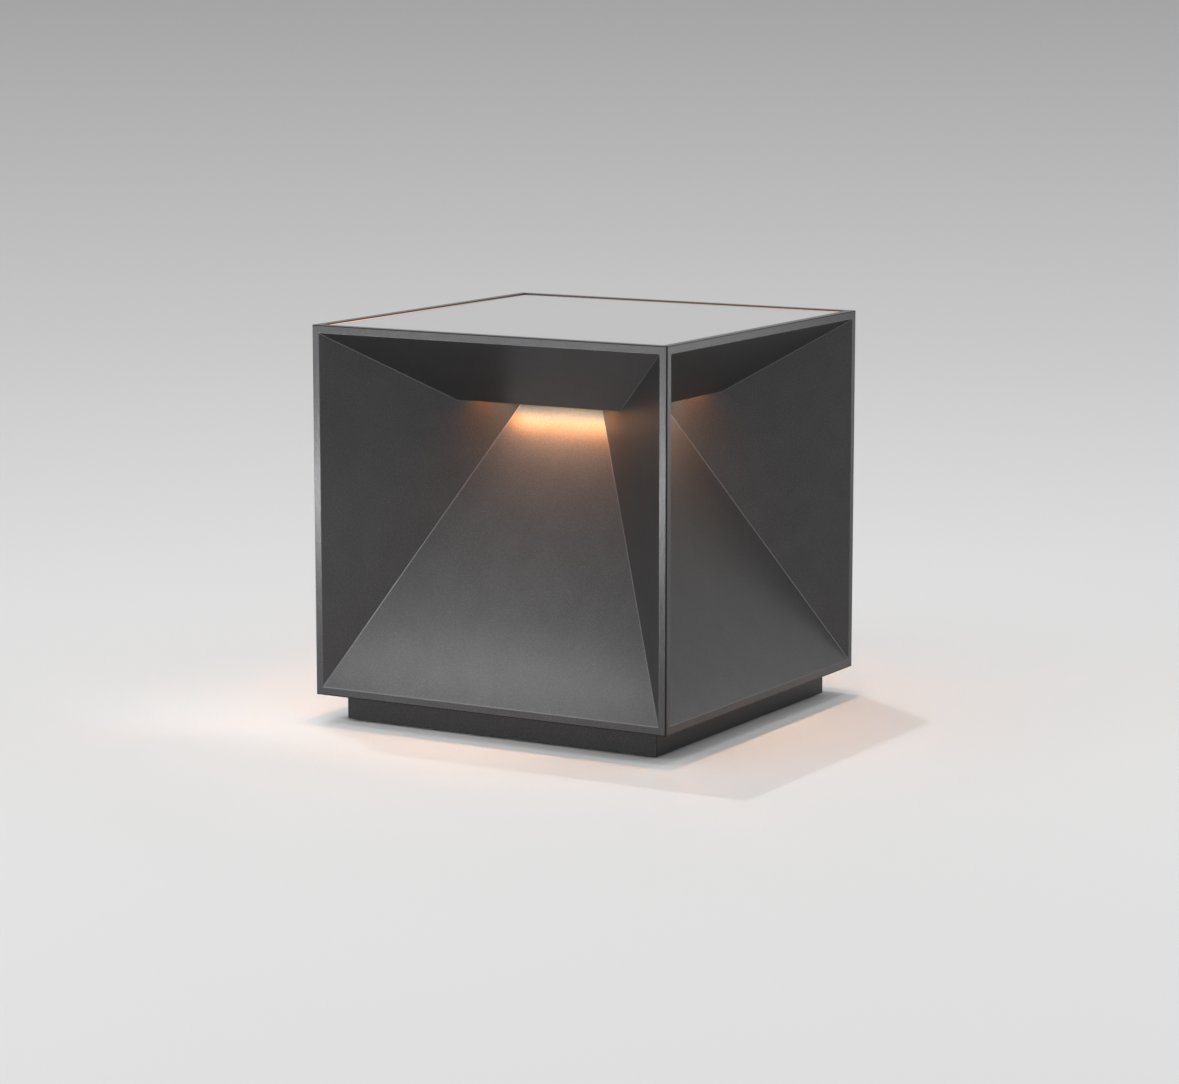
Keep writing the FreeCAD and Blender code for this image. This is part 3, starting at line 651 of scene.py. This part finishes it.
def bare_metal(name, dark, light, rough, squeeze, spots):
    """A metal whose noise has spots in metres, which squeeze makes narrower along each axis."""
    material, tree, place = new_finish(name)
    squeezed = add(tree, "ShaderNodeMapping", {"Scale": squeeze}, {"Vector": place}).outputs[0]
    marks = add(
        tree,
        "ShaderNodeTexNoise",
        {"Scale": 1 / spots, "Detail": 3.0, "Roughness": 0.6},
        {"Vector": squeezed},
    ).outputs["Fac"]
    tone = add(
        tree,
        "ShaderNodeValToRGB",
        links={"Fac": marks},
        stops=[(pattern_low, dark), (pattern_high, light)],
    ).outputs["Color"]
    sheen = add(
        tree,
        "ShaderNodeMapRange",
        clear_pattern(rough - mark_smooth, rough + mark_rough),
        {"Value": marks},
    ).outputs["Result"]
    relief = add(
        tree,
        "ShaderNodeBump",
        {"Distance": mark_height, "Strength": 0.4},
        {"Height": marks},
    ).outputs["Normal"]
    shader = add(
        tree,
        "ShaderNodeBsdfPrincipled",
        {"Metallic": 1.0},
        {"Base Color": tone, "Roughness": sheen, "Normal": relief},
    )
    add(tree, "ShaderNodeOutputMaterial", links={"Surface": shader.outputs[0]})
    return material


# Zinc from a bath looks alike in all directions, with faint dull clouds
zinc = bare_metal(
    "zinc_plated_steel",
    "#a3a6a9",
    "#c0c3c6",
    rough=0.32,
    squeeze=(1, 1, 1),
    spots=0.8 * mm,
)
# A mill leaves close parallel marks, which run along X here and give a soft streaky shine
milled = bare_metal(
    "milled_aluminium",
    "#b9babc",
    "#d2d3d4",
    rough=0.3,
    squeeze=(1, 12, 1),
    spots=0.6 * mm,
)
# Rolled strip has wider marks, and nickel shines more and is a little yellower than steel
nickel = bare_metal(
    "nickel_plated_strip",
    "#b5afa3",
    "#ccc6b9",
    rough=0.25,
    squeeze=(6, 1, 1),
    spots=0.8 * mm,
)
print("metals:", zinc.name, milled.name, nickel.name)

# %% [markdown]
# ## Plastics, rubber and enamel
#
# Most small parts are moulded. A mould leaves a spark-eroded texture on plastic, so each has a fine
# grain and differs in colour, gloss and grit. Enamel on sheet steel and a shrink sleeve have a soft
# unevenness of the same kind, so one function makes them all. Real grains are near 0.1 mm and too
# fine to show, so they are drawn coarser, from 0.7 mm up.

# %% Moulded and coated pieces
mould_smooth, mould_rough = 0.05, 0.07


def moulded(name, dark, light, rough, grit, deep, ior=1.5):
    """A plastic, rubber or enamel whose texture has spots grit across and deep high."""
    material, tree, place = new_finish(name)
    texture = add(
        tree,
        "ShaderNodeTexNoise",
        {"Scale": 1 / grit, "Detail": 2.0},
        {"Vector": place},
    ).outputs["Fac"]
    tone = add(
        tree,
        "ShaderNodeValToRGB",
        links={"Fac": texture},
        stops=[(pattern_low, dark), (pattern_high, light)],
    ).outputs["Color"]
    sheen = add(
        tree,
        "ShaderNodeMapRange",
        clear_pattern(rough - mould_smooth, rough + mould_rough),
        {"Value": texture},
    ).outputs["Result"]
    relief = add(
        tree,
        "ShaderNodeBump",
        {"Distance": deep, "Strength": 0.5},
        {"Height": texture},
    ).outputs["Normal"]
    shader = add(
        tree,
        "ShaderNodeBsdfPrincipled",
        {"IOR": ior},
        {"Base Color": tone, "Roughness": sheen, "Normal": relief},
    )
    add(tree, "ShaderNodeOutputMaterial", links={"Surface": shader.outputs[0]})
    return material


# Enamel is sprayed on the base plate and baked: black and half dull, with a slight orange peel
black_sheet = moulded(
    "black_enamel_on_sheet_steel",
    "#161616",
    "#202020",
    rough=0.5,
    grit=1.2 * mm,
    deep=0.03 * mm,
)
# The rubber of the feet and of the seal over the pyramid is the dullest black of all
rubber = moulded(
    "moulded_rubber",
    "#131313",
    "#1b1b1b",
    rough=0.78,
    grit=0.8 * mm,
    deep=0.04 * mm,
    ior=1.52,
)
# The silicone under the pane is squeezed flat when the pane is set, and looks pale and waxy
silicone = moulded(
    "clear_silicone_seal",
    "#cfc6b4",
    "#ddd5c6",
    rough=0.45,
    grit=1.5 * mm,
    deep=0.01 * mm,
    ior=1.41,
)
# The ABS of the button, the door and the holders is black, with a satin grain from the mould
black_abs = moulded(
    "black_abs",
    "#171717",
    "#222222",
    rough=0.42,
    grit=0.7 * mm,
    deep=0.02 * mm,
)
# The nylon of the clips and the plunger is undyed: ivory white and slightly waxy
nylon = moulded(
    "natural_nylon",
    "#dcd9cf",
    "#e8e6de",
    rough=0.4,
    grit=0.9 * mm,
    deep=0.01 * mm,
    ior=1.53,
)
# The sleeve is shrunk onto the cells with hot air, which leaves it tight, smooth and glossy
sleeve = moulded(
    "blue_shrink_sleeve",
    "#27528c",
    "#2f5f9c",
    rough=0.3,
    grit=2.5 * mm,
    deep=0.02 * mm,
)
# The leads have an extruded silicone sheath, soft to the touch and matt black
sheath = moulded(
    "silicone_lead_sheath",
    "#181818",
    "#232323",
    rough=0.55,
    grit=1.0 * mm,
    deep=0.01 * mm,
    ior=1.41,
)
print("moulded:", rubber.name, silicone.name, black_abs.name, nylon.name, sleeve.name, sheath.name)

# %% [markdown]
# ## The circuit boards
#
# A board is glass fibre in resin under a glossy green solder mask, and the weave shows faintly
# through it. Two waves at right angles give that weave. Its real pitch is about half a millimetre,
# which is too fine to show, so it is drawn coarser.

# %% Solder mask on glass fibre
weave_pitch = 6.0 * mm
weave_height = 0.01 * mm


def solder_mask():
    """Green gloss over a faint weave."""
    material, tree, place = new_finish("green_solder_mask_on_glass_fibre")
    warp, weft = [
        add(
            tree,
            "ShaderNodeTexWave",
            {"Scale": 1 / weave_pitch},
            {"Vector": place},
            bands_direction=way,
        ).outputs["Fac"]
        for way in ("X", "Y")
    ]
    weave = add(
        tree,
        "ShaderNodeMath",
        links={0: warp, 1: weft},
        operation="MULTIPLY",
    ).outputs[0]
    tone = add(
        tree,
        "ShaderNodeValToRGB",
        links={"Fac": weave},
        stops=[(0.0, "#123c22"), (1.0, "#1c5230")],
    ).outputs["Color"]
    relief = add(
        tree,
        "ShaderNodeBump",
        {"Distance": weave_height, "Strength": 0.5},
        {"Height": weave},
    ).outputs["Normal"]
    shader = add(
        tree,
        "ShaderNodeBsdfPrincipled",
        {"Roughness": 0.28, "IOR": 1.55},
        {"Base Color": tone, "Normal": relief},
    )
    add(tree, "ShaderNodeOutputMaterial", links={"Surface": shader.outputs[0]})
    return material


board_finish = solder_mask()
print("boards:", board_finish.name)

# %% [markdown]
# ## Which piece has which finish
#
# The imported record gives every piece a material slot. Each slot gets one finish here, so nothing on
# the lamp keeps the plain colour that it was packed with, down to the screws inside.

# %% Give every piece its finish
finishes = {
    "cast_side": side_coat,
    "plinth_cast": plinth_coat_painted_shade,
    "dark_cast": ceiling_coat,
    "satin_glass": top_glass_finish,
    "seal": silicone,
    "steel": zinc,
    "base_steel": black_sheet,
    "aluminium": milled,
    "opal": window_finish,
    "circuit_board": board_finish,
    "led": chip_finish,
    "black_plastic": black_abs,
    "white_plastic": nylon,
    "rubber": rubber,
    "cell": sleeve,
    "nickel": nickel,
    "lead_sheath": sheath,
}
slot_of = {row["node"]: row["material_slot"] for row in frame["record"]["subparts"]}
for name, piece in frame["nodes"].items():
    piece.data.materials.clear()
    piece.data.materials.append(finishes[slot_of[name]])
print("dressed", len(slot_of), "pieces in", len(finishes), "finishes")

# %% [markdown]
# ## The floor
#
# The lamp stands on a wide pale sheet. Near the lamp it is light grey, and it darkens slowly into
# the distance. That fall is painted shade, as studio paper darkens away from its lights. A curved
# backdrop would show as a wall from behind. So the sheet is a flat disc, and its painted fall is a
# ramp on the distance from a point a little in front of the lamp, which looks alike from all round.
# Its far end has the grey of the horizon, so that the floor meets the background without a line.

# %% Pale floor
floor_reach = 60.0
bright_spot = Vector((225 * mm, -390 * mm, 0))
half_way = 1.75
# Painted shade: the floor's tone at each distance in metres from the bright spot
painted_fall = [
    (0.15, "#dfdfdf"),
    (0.45, "#e1e1e1"),
    (0.75, "#dfdfdf"),
    (1.15, "#dcdcdc"),
    (1.75, "#dbdbdb"),
    (2.85, "#d7d7d7"),
    (4.35, "#d0d0d0"),
    (8.3, "#c5c5c5"),
    (26.5, "#b9b9b9"),
    (40, "#b6b6b6"),
    (60, "#b6b6b6"),
]


def disc(name, radius, steps=96):
    """A flat round sheet at the height of the table."""
    turns = [2 * math.pi * step / steps for step in range(steps)]
    rim = [(radius * math.cos(turn), radius * math.sin(turn), 0) for turn in turns]
    mesh = bpy.data.meshes.new(name)
    mesh.from_pydata(rim, [], [list(range(steps))])
    piece = bpy.data.objects.new(name, mesh)
    bpy.context.scene.collection.objects.link(piece)
    return piece


def studio_paper():
    """Distance d becomes d / (d + half_way), which keeps near and far floor on one ramp."""
    material, tree, place = new_finish("pale_studio_paper")
    distance = add(
        tree,
        "ShaderNodeVectorMath",
        {1: bright_spot},
        {0: place},
        operation="DISTANCE",
    ).outputs["Value"]
    longer = add(
        tree,
        "ShaderNodeMath",
        {1: half_way},
        {0: distance},
        operation="ADD",
    ).outputs[0]
    share = add(
        tree,
        "ShaderNodeMath",
        links={0: distance, 1: longer},
        operation="DIVIDE",
    ).outputs[0]
    tone = add(
        tree,
        "ShaderNodeValToRGB",
        links={"Fac": share},
        stops=[(far / (far + half_way), code) for far, code in painted_fall],
    ).outputs["Color"]
    shader = add(tree, "ShaderNodeBsdfDiffuse", links={"Color": tone})
    add(tree, "ShaderNodeOutputMaterial", links={"Surface": shader.outputs[0]})
    return material


floor = disc("studio_floor", floor_reach)
floor.data.materials.append(studio_paper())
print("floor reaches", floor_reach, "m")

# %% [markdown]
# ## The sky
#
# An even pale sky, the same for the camera, for reflections and for the light on the lamp, fills
# the room. Only near the horizon is it greyer, in the tone in which the floor ends. The two limits
# are heights of the direction of view, where 0 is level and 1 is straight up.

# %% Sky
sky_strength = 0.65
haze_end = 0.05
clear_start = 0.18


def studio_sky():
    """White above, and down to the horizon the grey in which the floor ends."""
    world = bpy.data.worlds.new("studio_sky")
    tree = empty_tree(world)
    way = add(tree, "ShaderNodeTexCoord").outputs["Generated"]
    upward = add(tree, "ShaderNodeSeparateXYZ", links={"Vector": way}).outputs["Z"]
    tone = add(
        tree,
        "ShaderNodeValToRGB",
        links={"Fac": upward},
        stops=[(haze_end, "#cdcdcd"), (clear_start, "#ffffff")],
    ).outputs["Color"]
    sky = add(tree, "ShaderNodeBackground", {"Strength": sky_strength}, {"Color": tone})
    add(tree, "ShaderNodeOutputWorld", links={"Surface": sky.outputs[0]})
    return world


bpy.context.scene.world = studio_sky()
print("sky strength", sky_strength)

# %% [markdown]
# ## Four kinds of lamp
#
# A studio has few kinds of lamp: a high one that stands for the sun, soft panels, slim bars close
# to the work, and small beams. Each kind has a function that hangs it up at its place and turns it
# to its aim. The panels stand 1.6 m from the middle of the lamp, so two angles place them.

# %% Helpers for the lamps
middle = Vector((0, 0, 100 * mm))
high_place = middle + Vector((-340, 225, 1025)) * mm
panel_distance = 1.6
full_spread = 180
beam_radius = 50 * mm
beam_angle = 50
beam_blend = 0.6


def shine(name, light, place, aim=middle):
    """Hangs a light up at its place and turns it to its aim."""
    lamp = bpy.data.objects.new(name, light)
    lamp.location = place
    lamp.rotation_euler = (aim - place).to_track_quat("-Z", "Y").to_euler()
    bpy.context.scene.collection.objects.link(lamp)
    return lamp


def high_lamp(name, strength, spread):
    """A distant lamp with parallel rays, whose shadow is spread degrees soft."""
    light = bpy.data.lights.new(name, "SUN")
    light.energy = strength
    light.angle = math.radians(spread)
    return shine(name, light, high_place)


def glowing_sheet(name, power, width, height, spread):
    """A lit rectangle, width by height in metres, whose light fans out by spread degrees."""
    light = bpy.data.lights.new(name, "AREA")
    light.shape = "RECTANGLE"
    light.energy = power
    light.size = width
    light.size_y = height
    light.spread = math.radians(spread)
    return light


def soft_panel(name, power, azimuth, elevation, width, height, spread=full_spread):
    """A panel seen from the lamp: azimuth 0 is in front of it and 90 is to its right."""
    turn = math.radians(azimuth)
    rise = math.radians(elevation)
    flat = math.cos(rise)
    way = Vector((math.sin(turn) * flat, -math.cos(turn) * flat, math.sin(rise)))
    light = glowing_sheet(name, power, width, height, spread)
    return shine(name, light, middle + way * panel_distance)


def light_bar(name, power, place, aim, width, height, spread):
    """A slim panel close to the lamp, with its lengths in millimetres."""
    light = glowing_sheet(name, power, width * mm, height * mm, spread)
    return shine(name, light, Vector(place) * mm, Vector(aim) * mm)


def beam(name, power, place, aim):
    """A small spot with a soft rim, with its lengths in millimetres."""
    light = bpy.data.lights.new(name, "SPOT")
    light.energy = power
    light.shadow_soft_size = beam_radius
    light.spot_size = math.radians(beam_angle)
    light.spot_blend = beam_blend
    return shine(name, light, Vector(place) * mm, Vector(aim) * mm)


steepness = math.degrees(math.asin((high_place - middle).normalized().z))
print("high lamp", round(steepness), "degrees above the horizon")

# %% [markdown]
# ## The studio lamps
#
# The high lamp behind the lamp's left shoulder throws the crisp, pale shadow to the front right.
# Three large panels give the glass and the coat their sheen: one overhead, one low at the front
# left and one at the right. The light of the two low ones is kept together, as a grid does it, so
# that it doesn't bleach the floor under them. Two slim bars and two beams draw the bright stretches
# on the frame, on the foot of the front pyramid and on the right side. All strengths were fitted
# together to the brightness of the real surfaces.

# %% Studio lamps
high_lamp("high_lamp", strength=0.45, spread=0.6)
soft_panel(
    "low_panel",
    power=1.68,
    azimuth=-35,
    elevation=8,
    width=1.0,
    height=0.62,
    spread=100,
)
soft_panel("overhead_panel", power=6.8, azimuth=0, elevation=89, width=1.0, height=1.0)
soft_panel(
    "right_panel",
    power=0.69,
    azimuth=120,
    elevation=12,
    width=1.0,
    height=0.8,
    spread=100,
)
light_bar(
    "frame_bar",
    power=0.083,
    place=(-182, -394, 74),
    aim=(0, -100, 130),
    width=300,
    height=20,
    spread=70,
)
light_bar(
    "foot_bar",
    power=0.031,
    place=(-85, -201, 122),
    aim=(-85, -97, 60),
    width=220,
    height=10,
    spread=95,
)
beam("foot_beam", power=0.16, place=(-230, -380, 290), aim=(0, -95, 30))
beam("rear_beam", power=0.46, place=(420, 480, 115), aim=(100, -60, 170))

# %% [markdown]
# ## The lamp's own light
#
# Behind each opal window the chips sit in a shallow tray that keeps their light in a cone pointing
# down. An emitting surface alone would spread it to all sides and wash out the hopper, so three
# narrow area lamps under each window give the cone, and the camera doesn't see them. The middle of
# the cone is nearly white. The collar and the wide skirt round it have passed through more of the
# opal and are a deeper orange, which is what colours the fins. The three lie 0.2 mm apart in
# height, because lamps that overlap in one plane hide each other's light.

# %% The warm cones under the windows
cone_depth = 9 * mm
sides = 4
quarter_turn = math.pi / 2


def warm_light(name, power, colour, place, height, length, spread):
    """One lamp under the window of each side, place millimetres from the lamp's axis."""
    light = glowing_sheet(name, power, length * mm, cone_depth, spread)
    light.color = linear(colour)[:3]
    for number in range(sides):
        turn = number * quarter_turn
        way = Vector((math.sin(turn), -math.cos(turn), 0))
        lamp = bpy.data.objects.new(f"{name}_{number}", light)
        lamp.location = way * place * mm + Vector((0, 0, height * mm))
        lamp.rotation_euler = (0, 0, turn)
        lamp.visible_camera = False
        bpy.context.scene.collection.objects.link(lamp)
    return light


cone = warm_light(
    "warm_cone",
    power=0.036,
    colour="#fff9e1",
    place=37,
    height=164.0,
    length=60,
    spread=100,
)
collar = warm_light(
    "warm_collar",
    power=0.041,
    colour="#ff8c30",
    place=46,
    height=163.8,
    length=76,
    spread=130,
)
skirt = warm_light(
    "warm_skirt",
    power=0.035,
    colour="#ffa65e",
    place=44,
    height=163.6,
    length=78,
    spread=175,
)
print("warm lamps:", cone.name, collar.name, skirt.name)

# %% [markdown]
# ## Finish
#

# %% Finish
print("scene ready")
